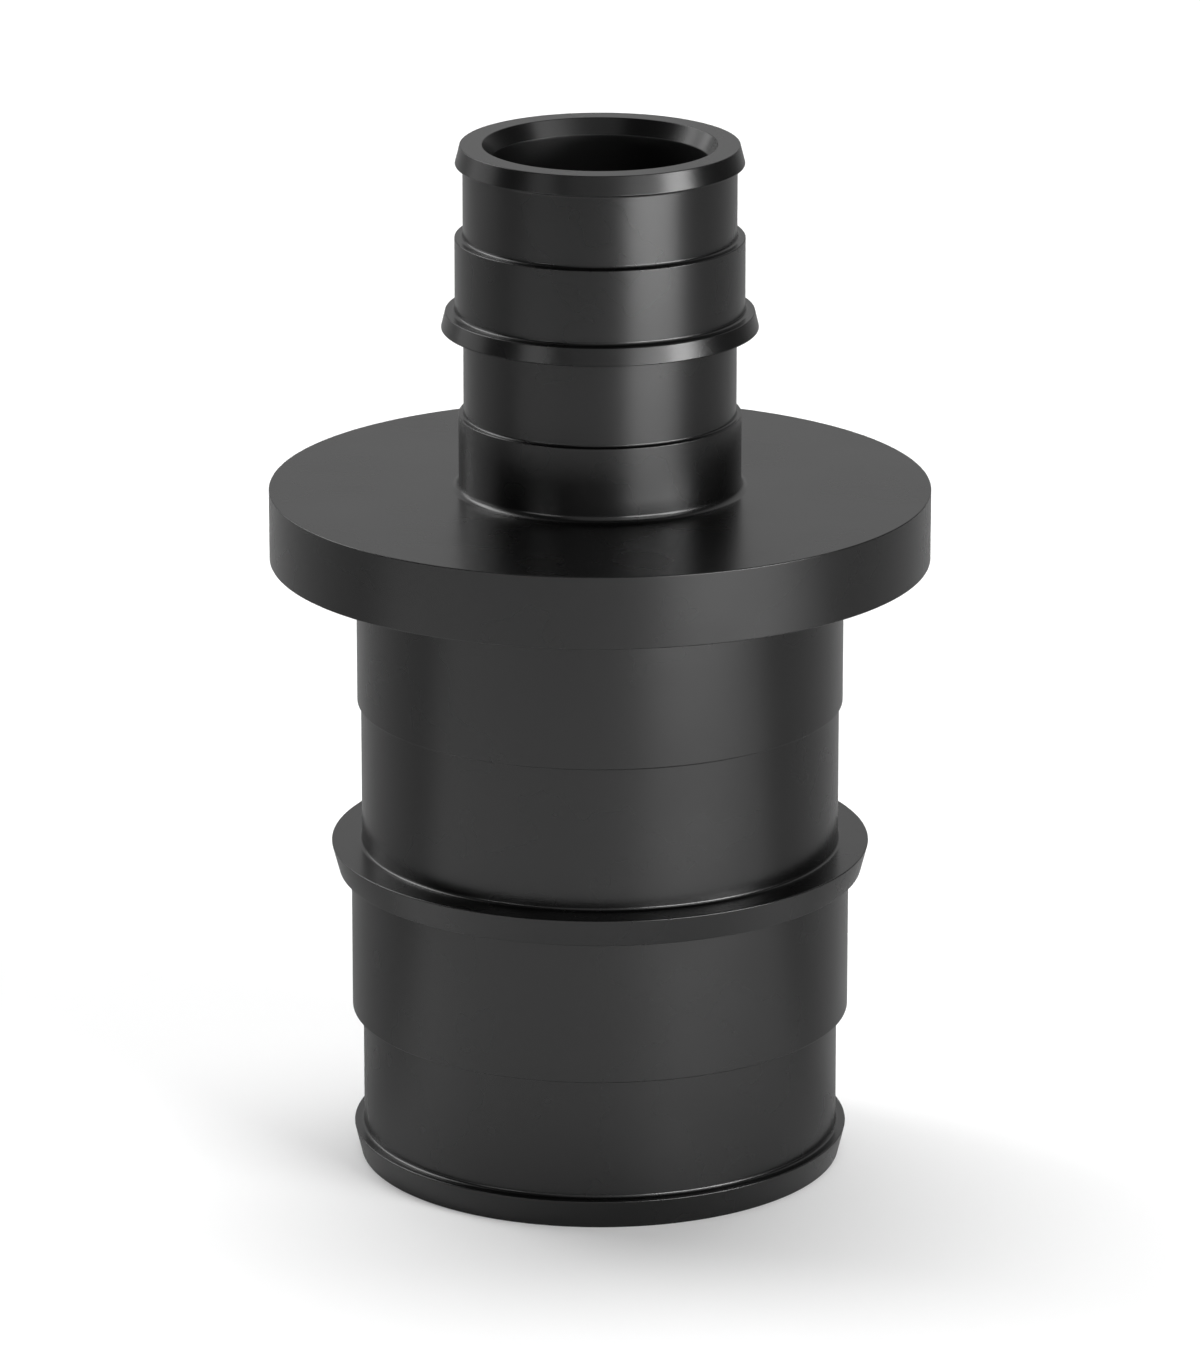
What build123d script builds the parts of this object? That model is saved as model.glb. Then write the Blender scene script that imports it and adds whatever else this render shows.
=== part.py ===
from build123d import *
import math
import os

# Reducing coupling for expansion pipe, moulded in one piece from engineering plastic: a stop flange with a
# ribbed insert on each side and one waterway through it. It stands on the end of the large insert. The origin
# is the centre of that foot, and +Z runs along the waterway to the small end. Sizes are in millimetres.

# Stop flange between the two inserts
flange_diameter = 62.0
flange_thickness = 6.8

# Large insert. The neck is its base cylinder, and the forms on it follow one another from the flange out to
# the foot: shoulder, groove, rib, sealing band, relief and lip. A rise is the height off the neck all round,
# and a taper is what the rib and the lip lose of it towards the pipe's way in.
large_neck_diameter = 45.1
large_wall = 4.05
large_shoulder_length = 13.95
large_shoulder_rise = 0.35
large_groove_length = 13.75
large_rib_length = 2.65
large_rib_rise = 2.9
large_rib_taper = 0.7
large_band_length = 13.8
large_band_rise = 1.025
large_relief_length = 11.75
large_lip_length = 2.8
large_lip_rise = 0.95
large_lip_taper = 0.675

# Small insert, with the same forms in the same order, from the flange up to its mouth
small_neck_diameter = 25.5
small_wall = 2.625
small_shoulder_length = 7.1
small_shoulder_rise = 0.475
small_groove_length = 8.2
small_rib_length = 1.65
small_rib_rise = 2.075
small_rib_taper = 0.4
small_band_length = 7.05
small_band_rise = 0.775
small_relief_length = 6.9
small_lip_length = 1.85
small_lip_rise = 0.725
small_lip_taper = 0.475

# Waterway: flared mouths, and a conical throat between the large bore and the small one
mouth_depth = 1.5
mouth_flare = 0.825
throat_cover = 4.1  # solid height between the throat's narrow end and the flange's upper face
throat_slope = 45.0  # degrees between the throat's wall and the axis

# Edges: the flange's roots are filleted, and the steep faces of the ribs and lips are broken at edge and root
flange_root_fillet = 0.7
grip_edge_break = 0.08
grip_root_break = 0.2

# Heights of the main levels above the foot
large_insert_length = (
    large_shoulder_length
    + large_groove_length
    + large_rib_length
    + large_band_length
    + large_relief_length
    + large_lip_length
)
small_insert_length = (
    small_shoulder_length
    + small_groove_length
    + small_rib_length
    + small_band_length
    + small_relief_length
    + small_lip_length
)
flange_bottom = large_insert_length
flange_top = flange_bottom + flange_thickness
overall_height = flange_top + small_insert_length

# Radii that the outside and the waterway share
flange_radius = flange_diameter / 2
large_neck_radius = large_neck_diameter / 2
small_neck_radius = small_neck_diameter / 2
large_bore_radius = large_neck_radius - large_wall
small_bore_radius = small_neck_radius - small_wall

# Each form of an insert from the flange outwards: its length, and its rise at its near and its far end
large_forms = [
    (large_shoulder_length, large_shoulder_rise, large_shoulder_rise),
    (large_groove_length, 0, 0),
    (large_rib_length, large_rib_rise, large_rib_rise - large_rib_taper),
    (large_band_length, large_band_rise, large_band_rise),
    (large_relief_length, 0, 0),
    (large_lip_length, large_lip_rise, large_lip_rise - large_lip_taper),
]
small_forms = [
    (small_shoulder_length, small_shoulder_rise, small_shoulder_rise),
    (small_groove_length, 0, 0),
    (small_rib_length, small_rib_rise, small_rib_rise - small_rib_taper),
    (small_band_length, small_band_rise, small_band_rise),
    (small_relief_length, 0, 0),
    (small_lip_length, small_lip_rise, small_lip_rise - small_lip_taper),
]


def insert_outline(neck_radius, forms, flange_face, direction):
    """Outside of an insert as (radius, height) points from the flange outwards: direction is 1 up, -1 down.

    Gives every corner, and apart from them the edge of each steep face, where a form tapers off the flange.
    """
    corners, steep_edges = [], []
    height = flange_face
    for length, near_rise, far_rise in forms:
        near_corner = (neck_radius + near_rise, height)
        height += direction * length
        corners += [near_corner, (neck_radius + far_rise, height)]
        if near_rise > far_rise:
            steep_edges.append(near_corner)
    return corners, steep_edges


def corner_at(sketch, point):
    """The sketch's vertex at that point, or the nearest one."""
    return sketch.vertices().sort_by_distance(point)[0]


large_corners, large_steep_edges = insert_outline(large_neck_radius, large_forms, flange_bottom, -1)
small_corners, small_steep_edges = insert_outline(small_neck_radius, small_forms, flange_top, 1)

# The throat's narrow end, and its wide end at the top of the large bore
throat_top = flange_top - throat_cover
throat_bottom = throat_top - (large_bore_radius - small_bore_radius) / math.tan(math.radians(throat_slope))

with BuildPart() as coupling_body:
    # Flange and inserts as one turned outline
    with BuildSketch(Plane.XZ) as outside:
        with BuildLine():
            Polyline(
                (0, overall_height),
                (0, 0),
                *reversed(large_corners),
                (flange_radius, flange_bottom),
                (flange_radius, flange_top),
                *small_corners,
                close=True,
            )
        make_face()
        for shoulder_root in (large_corners[0], small_corners[0]):
            fillet(corner_at(outside, shoulder_root), flange_root_fillet)
        for neck_radius, steep_edges in (
            (large_neck_radius, large_steep_edges),
            (small_neck_radius, small_steep_edges),
        ):
            for edge_radius, height in steep_edges:
                chamfer(corner_at(outside, (edge_radius, height)), grip_edge_break)
                chamfer(corner_at(outside, (neck_radius, height)), grip_root_break)
    revolve(axis=Axis.Z)

    # Waterway from the foot through the throat to the small mouth
    with BuildSketch(Plane.XZ):
        with BuildLine():
            Polyline(
                (0, 0),
                (large_bore_radius + mouth_flare, 0),
                (large_bore_radius, mouth_depth),
                (large_bore_radius, throat_bottom),
                (small_bore_radius, throat_top),
                (small_bore_radius, overall_height - mouth_depth),
                (small_bore_radius + mouth_flare, overall_height),
                (0, overall_height),
                close=True,
            )
        make_face()
    revolve(axis=Axis.Z, mode=Mode.SUBTRACT)

coupling_body.part.label = "coupling_body"

os.makedirs("parts", exist_ok=True)
export_step(coupling_body.part, "parts/coupling_body.step")
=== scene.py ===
"""Looks of a black reducing coupling for expansion pipe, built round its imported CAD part.

The coupling is one moulding turned about the Z axis: a stop flange with a ribbed insert on each side and one
waterway through it. Lengths are in metres and share the CAD part's frame, whose origin is the centre of
the foot.
"""

import logging
import math
from dataclasses import dataclass, field
from enum import Enum

import bpy
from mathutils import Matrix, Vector

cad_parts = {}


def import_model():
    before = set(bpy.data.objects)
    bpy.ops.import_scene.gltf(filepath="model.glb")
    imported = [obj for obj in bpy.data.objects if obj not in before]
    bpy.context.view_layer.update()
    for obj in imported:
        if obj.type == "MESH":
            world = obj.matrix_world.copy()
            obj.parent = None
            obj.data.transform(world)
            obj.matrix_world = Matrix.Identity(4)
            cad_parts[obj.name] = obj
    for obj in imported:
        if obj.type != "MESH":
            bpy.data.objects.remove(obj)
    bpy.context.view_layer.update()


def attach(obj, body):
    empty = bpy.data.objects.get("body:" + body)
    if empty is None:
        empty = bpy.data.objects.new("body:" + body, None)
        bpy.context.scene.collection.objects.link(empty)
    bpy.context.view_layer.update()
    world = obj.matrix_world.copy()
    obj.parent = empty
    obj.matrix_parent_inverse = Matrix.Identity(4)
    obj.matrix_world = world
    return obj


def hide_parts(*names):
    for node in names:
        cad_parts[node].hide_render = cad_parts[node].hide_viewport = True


LOG = logging.getLogger("coupling")
MM = 0.001
CORED = "cored"  # attribute of the faces that the tool's core pins form
BLACK = (0.0, 0.0, 0.0, 1.0)
WHITE = (1.0, 1.0, 1.0, 1.0)

# Sockets of the Mix node when it mixes colours
MIX_SHARE = 0
MIX_FIRST = 6
MIX_SECOND = 7
MIX_RESULT = 2


class Side(Enum):
    """Side of the flange that an insert stands on, as its direction along the axis."""

    SMALL = 1
    LARGE = -1


class Lit(Enum):
    """What a lamp lights: matt surfaces, only gloss, as a card hung for its reflection does, or both."""

    MATT = "matt"
    GLOSS = "gloss"
    BOTH = "both"


class Ray(Enum):
    """Kinds of ray that the studio answers each in its own way, by the Light Path node's outputs."""

    CAMERA = "Is Camera Ray"
    GLOSSY = "Is Glossy Ray"


def linear_channel(value: float) -> float:
    """Turns one sRGB channel from 0 to 1 to a linear one."""
    return value / 12.92 if value <= 0.04045 else ((value + 0.055) / 1.055) ** 2.4


def linear_colour(hex_code: str) -> tuple[float, float, float, float]:
    """Turns an sRGB hex colour to the linear one that shaders take.

    Args:
        hex_code: The colour as six hex digits after a hash sign.

    Returns:
        Linear red, green and blue, and an alpha of one.
    """
    red, green, blue = (linear_channel(int(hex_code[i : i + 2], 16) / 255) for i in (1, 3, 5))
    return (red, green, blue, 1.0)


def add_node(
    tree: bpy.types.NodeTree, kind: str, inputs: dict | None = None, **settings: object
) -> bpy.types.Node:
    """Adds one shader node with its settings and links.

    Args:
        tree: The node tree that gets the node.
        kind: Blender's name of the node type.
        inputs: Values or output sockets by the name or number of the input that they go to.
        **settings: Properties of the node itself.

    Returns:
        The new node.
    """
    node = tree.nodes.new(kind)
    for name, value in settings.items():
        setattr(node, name, value)
    for key, value in (inputs or {}).items():
        if isinstance(value, bpy.types.NodeSocket):
            tree.links.new(value, node.inputs[key])
        else:
            node.inputs[key].default_value = value
    return node


def new_material(name: str) -> bpy.types.Material:
    """Makes a material with an empty node tree.

    Args:
        name: Name of the material.

    Returns:
        The new material.
    """
    material = bpy.data.materials.new(name)
    material.use_nodes = True
    material.node_tree.nodes.clear()
    return material


def place_in_scene(name: str, data: bpy.types.ID) -> bpy.types.Object:
    """Makes an object of a mesh, lamp or camera and links it to the scene.

    Args:
        name: Name of the object.
        data: The mesh, lamp or camera.

    Returns:
        The new object.
    """
    placed = bpy.data.objects.new(name, data)
    bpy.context.scene.collection.objects.link(placed)
    return placed


@dataclass(frozen=True)
class MouldedPolysulfone:
    """Black polyphenylsulfone, injection moulded in a polished steel tool.

    The tool's polish gives a satin gloss: edges of reflections are soft, and the flat faces mirror pale
    surroundings at a low angle. The pigment swallows nearly all the light that enters, so what the eye sees
    is that reflection. Flow and cooling leave the gloss a little uneven from place to place. The core pins
    draw along the waterway's wall as they leave it, so it is duller and spreads the light that falls in.
    """

    name: str = "moulded_polysulfone_black"
    deep_colour: str = "#040404"
    pale_colour: str = "#060606"
    ior: float = 1.5
    roughness: float = 0.27
    cored_roughness: float = 0.42
    gloss_spread: float = 0.012  # how far flow marks move the roughness either way
    flow_mark: float = 9 * MM
    flow_detail: float = 3.0
    flow_span: tuple[float, float] = (0.3, 0.7)  # nearly all of the noise's values lie between these two
    grain: float = 0.35 * MM  # the tool's polish is finer than the render shows, so it is drawn this coarse
    grain_detail: float = 2.0
    grain_height: float = 0.0004 * MM

    def build(self) -> bpy.types.Material:
        """Makes the material with its node tree.

        Returns:
            The new material.
        """
        material = new_material(self.name)
        tree = material.node_tree
        place = add_node(tree, "ShaderNodeTexCoord").outputs["Object"]
        flow = add_node(
            tree,
            "ShaderNodeTexNoise",
            {"Vector": place, "Scale": 1 / self.flow_mark, "Detail": self.flow_detail},
        ).outputs["Fac"]
        grain = add_node(
            tree,
            "ShaderNodeTexNoise",
            {"Vector": place, "Scale": 1 / self.grain, "Detail": self.grain_detail},
        ).outputs["Fac"]
        colour = add_node(
            tree,
            "ShaderNodeMix",
            {
                MIX_SHARE: flow,
                MIX_FIRST: linear_colour(self.deep_colour),
                MIX_SECOND: linear_colour(self.pale_colour),
            },
            data_type="RGBA",
        )
        gloss = add_node(
            tree,
            "ShaderNodeMapRange",
            {
                "Value": flow,
                "From Min": self.flow_span[0],
                "From Max": self.flow_span[1],
                "To Min": self.roughness - self.gloss_spread,
                "To Max": self.roughness + self.gloss_spread,
            },
        )
        cored = add_node(tree, "ShaderNodeAttribute", attribute_name=CORED, attribute_type="GEOMETRY")
        roughness = add_node(
            tree,
            "ShaderNodeMapRange",
            {
                "Value": cored.outputs["Fac"],
                "To Min": gloss.outputs["Result"],
                "To Max": self.cored_roughness,
            },
        )
        bump = add_node(
            tree,
            "ShaderNodeBump",
            {"Height": grain, "Strength": 1.0, "Distance": self.grain_height},
        )
        shader = add_node(
            tree,
            "ShaderNodeBsdfPrincipled",
            {
                "Base Color": colour.outputs[MIX_RESULT],
                "Roughness": roughness.outputs["Result"],
                "IOR": self.ior,
                "Normal": bump.outputs["Normal"],
            },
        )
        add_node(tree, "ShaderNodeOutputMaterial", {"Surface": shader.outputs["BSDF"]})
        return material


@dataclass(frozen=True)
class StudioPaper:
    """Matt white background paper: even and with no gloss.

    In the plastic's reflections only, the paper's colour is painted darker behind the coupling and far to the
    sides, round an unshaded patch in front of it: painted shade that keeps the coupling's edges dark. The
    camera sees white paper wherever nothing shades it, and out to the floor's end, beyond the reach of the
    lamps.
    """

    name: str = "studio_paper_white"
    colour: str = "#ececec"
    glow: float = 0.14  # for the camera, near the coupling
    far_glow: float = 1.0
    glow_change: tuple[float, float] = (0.55, 1.3)  # how far off the glow begins to rise, and is full
    painted_shade_depth: float = 0.6  # share of the paper's colour that painted shade takes away off the unshaded patch, only in reflections
    unshaded_patch_centre: float = -0.18  # centre of the patch that the painted shade in reflections leaves out, in front of the coupling
    unshaded_patch_fade: tuple[float, float] = (0.285, 0.345)  # half the unshaded patch's width where the painted shade begins, and where it is full
    unshaded_patch_squeeze: float = 1.8  # the unshaded patch's width over its depth

    def painted_reflection_shade(self, tree: bpy.types.NodeTree, place: bpy.types.NodeSocket) -> bpy.types.NodeSocket:
        """Adds the nodes of the painted shade that reflections show on the paper off the unshaded patch.

        Args:
            tree: The paper's node tree.
            place: The place on the floor.

        Returns:
            The share of painted shade there, none inside the unshaded patch.
        """
        stretched = add_node(
            tree, "ShaderNodeVectorMath", {0: place, 1: (1.0, self.unshaded_patch_squeeze, 0.0)}, operation="MULTIPLY"
        )
        distance = add_node(
            tree,
            "ShaderNodeVectorMath",
            {0: stretched.outputs["Vector"], 1: (0.0, self.unshaded_patch_squeeze * self.unshaded_patch_centre, 0.0)},
            operation="DISTANCE",
        )
        outside = add_node(
            tree,
            "ShaderNodeMapRange",
            {
                "Value": distance.outputs["Value"],
                "From Min": self.unshaded_patch_fade[0],
                "From Max": self.unshaded_patch_fade[1],
                "To Max": self.painted_shade_depth,
            },
            interpolation_type="SMOOTHSTEP",
        )
        return outside.outputs["Result"]

    def glow_at(self, tree: bpy.types.NodeTree, place: bpy.types.NodeSocket) -> bpy.types.NodeSocket:
        """Adds the nodes of the glow, which rises with the distance from the coupling.

        Args:
            tree: The paper's node tree.
            place: The place on the floor.

        Returns:
            The strength of the glow there.
        """
        distance = add_node(tree, "ShaderNodeVectorMath", {0: place}, operation="LENGTH")
        glow = add_node(
            tree,
            "ShaderNodeMapRange",
            {
                "Value": distance.outputs["Value"],
                "From Min": self.glow_change[0],
                "From Max": self.glow_change[1],
                "To Min": self.glow,
                "To Max": self.far_glow,
            },
            interpolation_type="SMOOTHSTEP",
        )
        return glow.outputs["Result"]

    def build(self) -> bpy.types.Material:
        """Makes the material with its node tree.

        Returns:
            The new material.
        """
        material = new_material(self.name)
        tree = material.node_tree
        path = add_node(tree, "ShaderNodeLightPath")
        place = add_node(tree, "ShaderNodeNewGeometry").outputs["Position"]
        # Painted shade: for glossy rays only, the paper's colour is mixed towards black off the unshaded
        # patch
        painted_shade = add_node(
            tree,
            "ShaderNodeMath",
            {0: self.painted_reflection_shade(tree, place), 1: path.outputs[Ray.GLOSSY.value]},
            operation="MULTIPLY",
        )
        tone = add_node(
            tree,
            "ShaderNodeMix",
            {MIX_SHARE: painted_shade.outputs[0], MIX_FIRST: linear_colour(self.colour), MIX_SECOND: BLACK},
            data_type="RGBA",
        )
        glow = add_node(
            tree,
            "ShaderNodeMath",
            {0: path.outputs[Ray.CAMERA.value], 1: self.glow_at(tree, place)},
            operation="MULTIPLY",
        )
        paper = add_node(tree, "ShaderNodeBsdfDiffuse", {"Color": tone.outputs[MIX_RESULT]})
        light = add_node(tree, "ShaderNodeEmission", {"Strength": glow.outputs[0]})
        both = add_node(tree, "ShaderNodeAddShader", {0: paper.outputs[0], 1: light.outputs[0]})
        add_node(tree, "ShaderNodeOutputMaterial", {"Surface": both.outputs[0]})
        return material


@dataclass(frozen=True)
class Corner:
    """Corner of the section that is turned, with the radius of its rounding."""

    radius: float
    height: float
    rounding: float
    cored: bool = False  # on the surface that the tool's core pins form, not its cavity


@dataclass(frozen=True)
class SectionPoint:
    """Point of the rounded section, with the surface's direction there as (outward, up)."""

    radius: float
    height: float
    outward: float
    up: float
    cored: bool


@dataclass(frozen=True)
class Form:
    """Stretch of an insert, told from the flange outwards: its length, and its rise at both ends."""

    length: float
    near_rise: float = 0.0
    far_rise: float = 0.0


@dataclass(frozen=True)
class Insert:
    """Ribbed insert that a pipe is pushed over, from the flange to its open end.

    A corner in a root, where the form beside it rises higher, is rounded more than one on an edge.
    """

    side: Side
    neck_radius: float
    shoulder: Form
    groove: Form
    rib: Form
    band: Form
    relief: Form
    lip: Form
    wall: float
    shoulder_root: float = 0.7 * MM
    root: float = 0.3 * MM
    edge: float = 0.1 * MM

    @property
    def forms(self) -> tuple[Form, ...]:
        """The forms in order from the flange outwards."""
        return (self.shoulder, self.groove, self.rib, self.band, self.relief, self.lip)

    @property
    def length(self) -> float:
        """Length of the insert off the flange."""
        return sum(form.length for form in self.forms)

    @property
    def bore_radius(self) -> float:
        """Radius of the waterway inside the insert."""
        return self.neck_radius - self.wall

    def corners(self, flange_face: float) -> list[Corner]:
        """Lists the corners of the outside.

        Args:
            flange_face: Height of the flange's face that the insert stands on.

        Returns:
            The corners from the flange outwards.
        """
        corners = []
        height = flange_face
        rises_before = (math.inf, *(form.far_rise for form in self.forms[:-1]))
        rises_after = (*(form.near_rise for form in self.forms[1:]), -math.inf)
        for form, rise_before, rise_after in zip(self.forms, rises_before, rises_after):
            near = self.root if form.near_rise < rise_before else self.edge
            far = self.root if form.far_rise < rise_after else self.edge
            if form is self.shoulder:
                near = self.shoulder_root
            corners.append(Corner(self.neck_radius + form.near_rise, height, near))
            height += self.side.value * form.length
            corners.append(Corner(self.neck_radius + form.far_rise, height, far))
        return corners


@dataclass(frozen=True)
class Flange:
    """Round stop between the two inserts."""

    radius: float = 31 * MM
    thickness: float = 6.8 * MM
    edge: float = 0.1 * MM

    def corners(self, bottom: float) -> list[Corner]:
        """Lists the lower and the upper corner of the rim.

        Args:
            bottom: Height of the flange's lower face.

        Returns:
            The two corners, the lower one first.
        """
        return [Corner(self.radius, height, self.edge) for height in (bottom, bottom + self.thickness)]


@dataclass(frozen=True)
class Waterway:
    """Passage through the coupling: a flared mouth at each end, and a conical throat between the bores."""

    mouth_depth: float = 1.5 * MM
    mouth_flare: float = 0.825 * MM
    throat_cover: float = 4.1 * MM  # from the throat's narrow end up to the flange's upper face
    throat_slope: float = math.radians(45)  # between the throat's wall and the axis
    edge: float = 0.1 * MM
    bend: float = 0.3 * MM

    def corners(
        self, top: float, throat_top: float, small_radius: float, large_radius: float
    ) -> list[Corner]:
        """Lists the corners from the small mouth down to the large one.

        Args:
            top: Height of the small insert's end.
            throat_top: Height of the throat's narrow end.
            small_radius: Radius of the small bore.
            large_radius: Radius of the large bore.

        Returns:
            The corners in order.
        """
        throat_bottom = throat_top - (large_radius - small_radius) / math.tan(self.throat_slope)
        return [
            Corner(small_radius + self.mouth_flare, top, self.edge),
            Corner(small_radius, top - self.mouth_depth, self.bend, cored=True),
            Corner(small_radius, throat_top, self.bend, cored=True),
            Corner(large_radius, throat_bottom, self.bend, cored=True),
            Corner(large_radius, self.mouth_depth, self.bend, cored=True),
            Corner(large_radius + self.mouth_flare, 0.0, self.edge),
        ]


@dataclass(frozen=True)
class Lathe:
    """Turns a closed section about the Z axis to one smooth closed mesh."""

    segments: int = 360
    arc_step: float = math.radians(15)
    fewest_steps: int = 2
    most_of_side: float = 0.45  # share of a straight side that the rounding at one end of it may take

    def rounded(self, before: Corner, corner: Corner, after: Corner) -> list[SectionPoint]:
        """Rounds one corner of a section that runs with its solid on the left.

        Args:
            before: The corner before it.
            corner: The corner to round.
            after: The corner after it.

        Returns:
            Points along the rounding, with the surface's direction at each.
        """
        point = Vector((corner.radius, corner.height))
        back = Vector((before.radius, before.height)) - point
        onward = Vector((after.radius, after.height)) - point
        half_angle = back.angle(onward) / 2
        shortest_side = min(back.length, onward.length)
        reach = min(corner.rounding / math.tan(half_angle), self.most_of_side * shortest_side)
        radius = reach * math.tan(half_angle)
        middle = (back.normalized() + onward.normalized()).normalized()
        centre = point + middle * radius / math.sin(half_angle)
        turn = (-back).angle_signed(onward)
        steps = max(self.fewest_steps, math.ceil(abs(turn) / self.arc_step))
        first = point + back.normalized() * reach - centre
        outside = 1 if turn < 0 else -1
        points = []
        for step in range(steps + 1):
            angle = -turn * step / steps
            cos, sin = math.cos(angle), math.sin(angle)
            spoke = Vector((first.x * cos - first.y * sin, first.x * sin + first.y * cos))
            facing = spoke.normalized() * outside
            place = (centre.x + spoke.x, centre.y + spoke.y)
            points.append(SectionPoint(*place, facing.x, facing.y, corner.cored))
        return points

    def turn(self, name: str, corners: list[Corner]) -> bpy.types.Object:
        """Makes the turned mesh.

        Args:
            name: Name of the piece.
            corners: The closed section, with its solid on the left.

        Returns:
            The new object, linked to the scene.
        """
        section = []
        for index, corner in enumerate(corners):
            section += self.rounded(corners[index - 1], corner, corners[(index + 1) % len(corners)])
        vertices, normals, faces, cored = [], [], [], []
        count = len(section)
        for segment in range(self.segments):
            angle = math.tau * segment / self.segments
            cos, sin = math.cos(angle), math.sin(angle)
            here, there = segment * count, (segment + 1) % self.segments * count
            for index, point in enumerate(section):
                vertices.append((point.radius * cos, point.radius * sin, point.height))
                normals.append((point.outward * cos, point.outward * sin, point.up))
                following = (index + 1) % count
                cored.append(float(point.cored and section[following].cored))
                faces.append((here + index, there + index, there + following, here + following))
        mesh = bpy.data.meshes.new(name)
        mesh.from_pydata(vertices, [], faces)
        mesh.shade_smooth()
        mesh.normals_split_custom_set_from_vertices(normals)
        mesh.attributes.new(CORED, "FLOAT", "FACE").data.foreach_set("value", cored)
        return place_in_scene(name, mesh)


@dataclass
class Coupling:
    """The whole coupling, which is one moulding, and so one piece."""

    large: Insert = field(
        default_factory=lambda: Insert(
            side=Side.LARGE,
            neck_radius=22.55 * MM,
            shoulder=Form(13.95 * MM, 0.35 * MM, 0.35 * MM),
            groove=Form(13.75 * MM),
            rib=Form(2.65 * MM, 2.9 * MM, 2.2 * MM),
            band=Form(13.8 * MM, 1.025 * MM, 1.025 * MM),
            relief=Form(11.75 * MM),
            lip=Form(2.8 * MM, 0.95 * MM, 0.275 * MM),
            wall=4.05 * MM,
        )
    )
    small: Insert = field(
        default_factory=lambda: Insert(
            side=Side.SMALL,
            neck_radius=12.75 * MM,
            shoulder=Form(7.1 * MM, 0.475 * MM, 0.475 * MM),
            groove=Form(8.2 * MM),
            rib=Form(1.65 * MM, 2.075 * MM, 1.675 * MM),
            band=Form(7.05 * MM, 0.775 * MM, 0.775 * MM),
            relief=Form(6.9 * MM),
            lip=Form(1.85 * MM, 0.725 * MM, 0.25 * MM),
            wall=2.625 * MM,
        )
    )
    flange: Flange = field(default_factory=Flange)
    waterway: Waterway = field(default_factory=Waterway)
    lathe: Lathe = field(default_factory=Lathe)
    name: str = "coupling_moulding"
    cad_node: str = "coupling_body"
    material_slot: str = "moulded_plastic"
    body: str = "root"

    def section(self) -> list[Corner]:
        """Lists the corners of the whole section, up the outside and back down the waterway.

        Returns:
            The corners in order, with the solid on their left.
        """
        flange_bottom = self.large.length
        flange_top = flange_bottom + self.flange.thickness
        top = flange_top + self.small.length
        throat_top = flange_top - self.waterway.throat_cover
        return [
            *reversed(self.large.corners(flange_bottom)),
            *self.flange.corners(flange_bottom),
            *self.small.corners(flange_top),
            *self.waterway.corners(top, throat_top, self.small.bore_radius, self.large.bore_radius),
        ]

    def build(self) -> bpy.types.Object:
        """Makes the piece, and lets it stand for the CAD node that it refines.

        Returns:
            The coupling's object, not yet dressed.
        """
        piece = self.lathe.turn(self.name, self.section())
        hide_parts(self.cad_node)
        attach(piece, self.body)
        return piece

    def dress(self, piece: bpy.types.Object, finish: MouldedPolysulfone) -> None:
        """Gives the piece its finish.

        Args:
            piece: The coupling's mesh.
            finish: The plastic it is moulded from.
        """
        piece.data.materials.append(finish.build())


@dataclass(frozen=True)
class PhotoCamera:
    """Camera at the photograph's place: in front of the coupling and looking a little down on it."""

    name: str = "photo_camera"
    location: tuple[float, float, float] = (0.0, -0.7313547, 0.2684571)
    tilt: float = math.radians(73.1665)  # from looking straight down
    focal_length_mm: float = 216.93
    sensor_mm: float = 36.0

    def build(self) -> bpy.types.Object:
        """Makes the camera and sets it as the scene's own.

        Returns:
            The camera's object.
        """
        data = bpy.data.cameras.new(self.name)
        data.lens = self.focal_length_mm
        data.sensor_width = self.sensor_mm
        camera = place_in_scene(self.name, data)
        camera.location = self.location
        camera.rotation_euler = (self.tilt, 0.0, 0.0)
        bpy.context.scene.camera = camera
        return camera


@dataclass(frozen=True)
class Softbox:
    """Diffused lamp or bright card beside, behind or above the coupling, turned towards its axis."""

    name: str
    azimuth: float  # degrees to the right of the camera, seen from the coupling
    reach: float  # distance from the coupling's axis
    centre_height: float
    width: float
    length: float
    radiance: float
    aim_height: float = 0.0  # height on the axis that it faces
    lights: Lit = Lit.MATT

    def build(self) -> bpy.types.Object:
        """Makes the lamp and links it to the scene.

        Returns:
            The lamp's object.
        """
        data = bpy.data.lights.new(self.name, "AREA")
        data.shape = "RECTANGLE"
        data.size, data.size_y = self.width, self.length
        data.energy = self.radiance * math.pi * self.width * self.length
        lamp = place_in_scene(self.name, data)
        azimuth = math.radians(self.azimuth)
        place = Vector((math.sin(azimuth) * self.reach, -math.cos(azimuth) * self.reach, self.centre_height))
        lamp.location = place
        away = place - Vector((0.0, 0.0, self.aim_height))
        lamp.rotation_euler = away.to_track_quat("Z", "Y").to_euler()
        lamp.visible_camera = False
        lamp.visible_diffuse = self.lights is not Lit.GLOSS
        lamp.visible_glossy = self.lights is not Lit.MATT
        return lamp


def card(
    name: str, azimuth: float, reach: float, height: float, width: float, length: float, radiance: float
) -> Softbox:
    """Stands a bright card upright, which only shows in reflections.

    Args:
        name: Its name.
        azimuth: Degrees to the right of the camera, seen from the coupling.
        reach: Distance from the coupling's axis.
        height: Height of its centre.
        width: Its width.
        length: Its length from bottom to top.
        radiance: How bright it is.

    Returns:
        The card as a softbox.
    """
    return Softbox(name, azimuth, reach, height, width, length, radiance, aim_height=height, lights=Lit.GLOSS)


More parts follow.
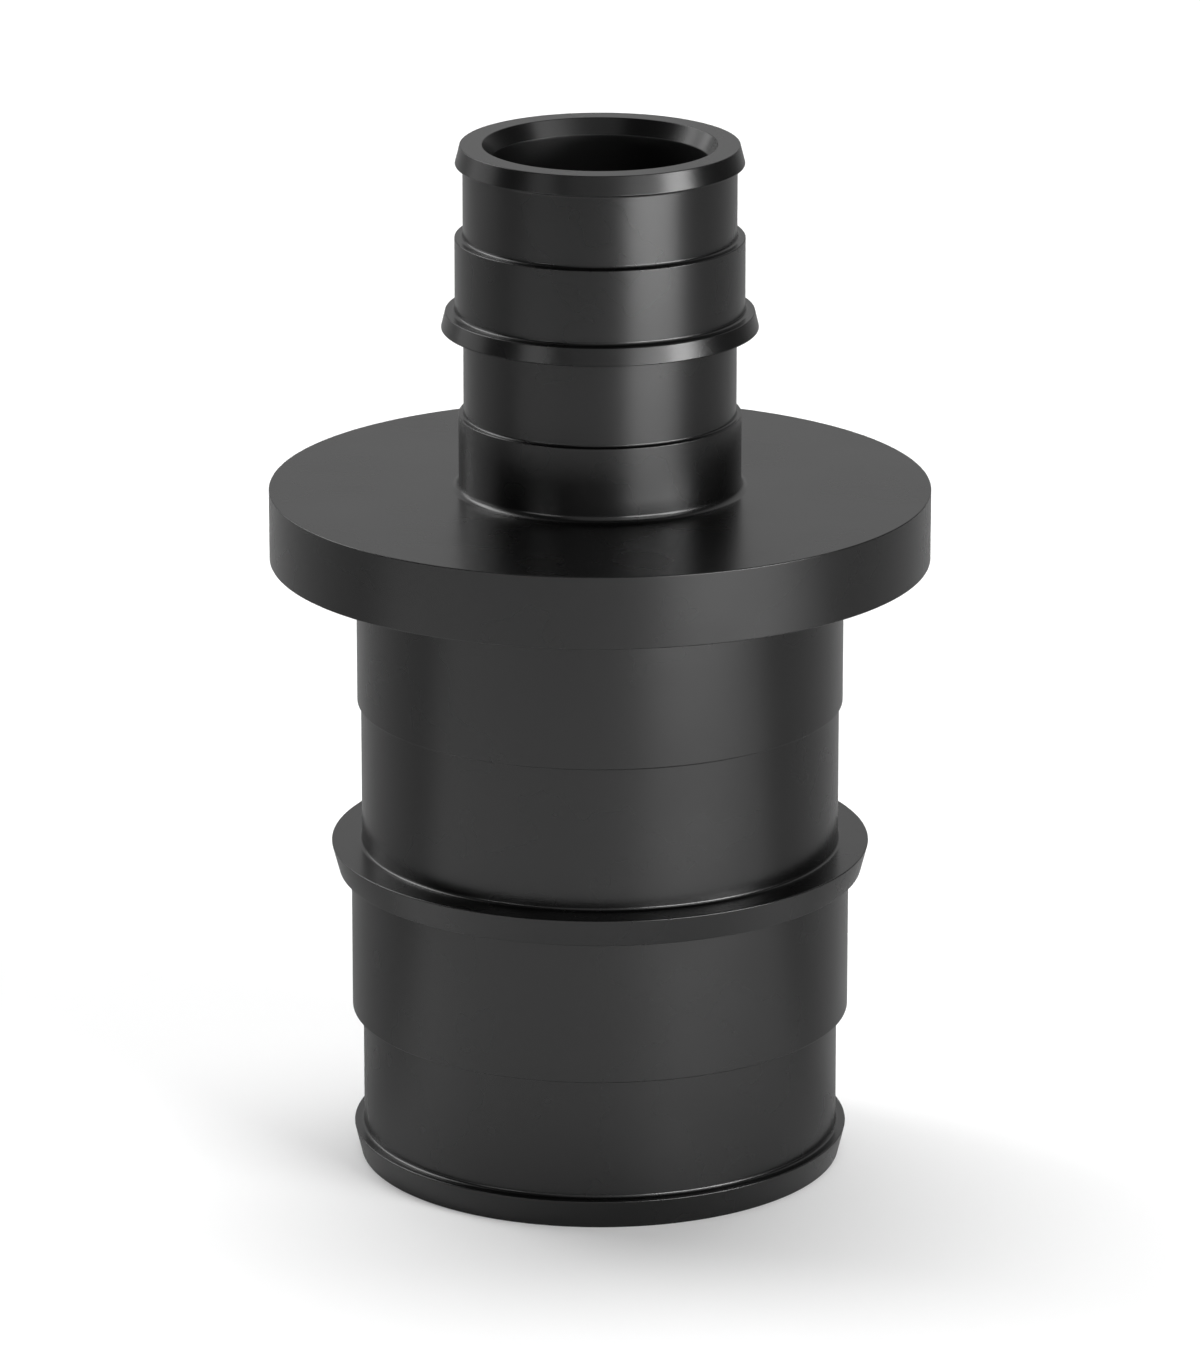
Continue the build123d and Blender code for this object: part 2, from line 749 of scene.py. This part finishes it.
@dataclass(frozen=True)
class Studio:
    """Pale floor, soft lamps, bright cards and the studio's walls round them."""

    paper: StudioPaper = StudioPaper()
    floor_half_width: float = 3.0
    back_wall_light: float = 0.52
    front_wall_light: float = 0.05
    bright_side: tuple[float, float, float] = (0.0, 0.71, 0.7)  # the lighter walls are behind and above
    wall_change: tuple[float, float] = (0.5, 0.85)  # nearness to that side where light rises, and is full
    camera_light: float = 1.0  # the white that the camera sees behind everything
    softboxes: tuple[Softbox, ...] = (
        # Azimuth, reach, height of the centre, width, length, radiance
        Softbox("right_key", 48, 1.17, 0.94, 0.64, 0.69, 8.0),
        Softbox("left_back_key", -120, 1.17, 0.94, 0.64, 0.69, 5.2, lights=Lit.BOTH),
        Softbox("back_box", 180, 0.9, 1.2, 2.2, 0.8, 1.2),
        Softbox("top_box", 180, 0.3, 1.47, 1.2, 0.6, 4.6),
        card("front_right_strip", 44, 0.6, 0.036, 0.48, 0.07, 26.5),
        card("front_right_card", 46, 1.2, 0.19, 1.05, 0.11, 17.0),
        card("lip_card", 65, 1.2, 0.32, 0.55, 0.12, 17.0),
        card("front_right_upper_card", 50, 0.42, 0.38, 0.44, 0.2, 2.6),
        card("front_left_card", -45.5, 1.2, 0.19, 0.48, 0.11, 7.5),
        card("front_card", 0, 1.2, 0.75, 1.2, 1.5, 0.5),
        card("left_card", -107, 0.45, 0.2, 0.25, 0.35, 1.0),
        card("left_back_card", -133, 1.0, 0.33, 0.25, 0.42, 2.0),
    )

    def floor(self) -> bpy.types.Object:
        """Makes the floor that the coupling stands on.

        Returns:
            The floor's object.
        """
        half = self.floor_half_width
        mesh = bpy.data.meshes.new("paper_floor")
        outline = [(-half, -half, 0), (half, -half, 0), (half, half, 0), (-half, half, 0)]
        mesh.from_pydata(outline, [], [tuple(range(len(outline)))])
        mesh.materials.append(self.paper.build())
        floor = place_in_scene("paper_floor", mesh)
        return floor

    def walls(self) -> bpy.types.World:
        """Makes the world: walls that are lighter behind and above, and a white background for the camera.

        Returns:
            The scene's new world.
        """
        world = bpy.data.worlds.new("studio_walls")
        world.use_nodes = True
        tree = world.node_tree
        tree.nodes.clear()
        path = add_node(tree, "ShaderNodeLightPath")
        direction = add_node(tree, "ShaderNodeTexCoord").outputs["Generated"]
        nearness = add_node(
            tree, "ShaderNodeVectorMath", {0: direction, 1: self.bright_side}, operation="DOT_PRODUCT"
        )
        wall = add_node(
            tree,
            "ShaderNodeMapRange",
            {
                "Value": nearness.outputs["Value"],
                "From Min": self.wall_change[0],
                "From Max": self.wall_change[1],
                "To Min": self.front_wall_light,
                "To Max": self.back_wall_light,
            },
            interpolation_type="SMOOTHSTEP",
        )
        strength = add_node(
            tree,
            "ShaderNodeMapRange",
            {
                "Value": path.outputs[Ray.CAMERA.value],
                "To Min": wall.outputs["Result"],
                "To Max": self.camera_light,
            },
        )
        background = add_node(
            tree, "ShaderNodeBackground", {"Color": WHITE, "Strength": strength.outputs["Result"]}
        )
        add_node(tree, "ShaderNodeOutputWorld", {"Surface": background.outputs[0]})
        bpy.context.scene.world = world
        return world

    def build(self) -> None:
        """Makes the floor, the walls and every lamp."""
        bpy.context.scene.view_settings.view_transform = "Standard"
        LOG.info("stage: %s", self.floor().name)
        LOG.info("world: %s", self.walls().name)
        for softbox in self.softboxes:
            LOG.info("lamp: %s", softbox.build().name)


def main() -> None:
    """Builds the camera, the coupling and the studio."""
    logging.basicConfig(level=logging.INFO, format="%(name)s: %(message)s")
    LOG.info("camera: %s", PhotoCamera().build().name)
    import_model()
    coupling = Coupling()
    piece = coupling.build()
    coupling.dress(piece, MouldedPolysulfone())
    LOG.info("piece: %s, %d faces", piece.name, len(piece.data.polygons))
    Studio().build()


if __name__ == "__main__":
    main()
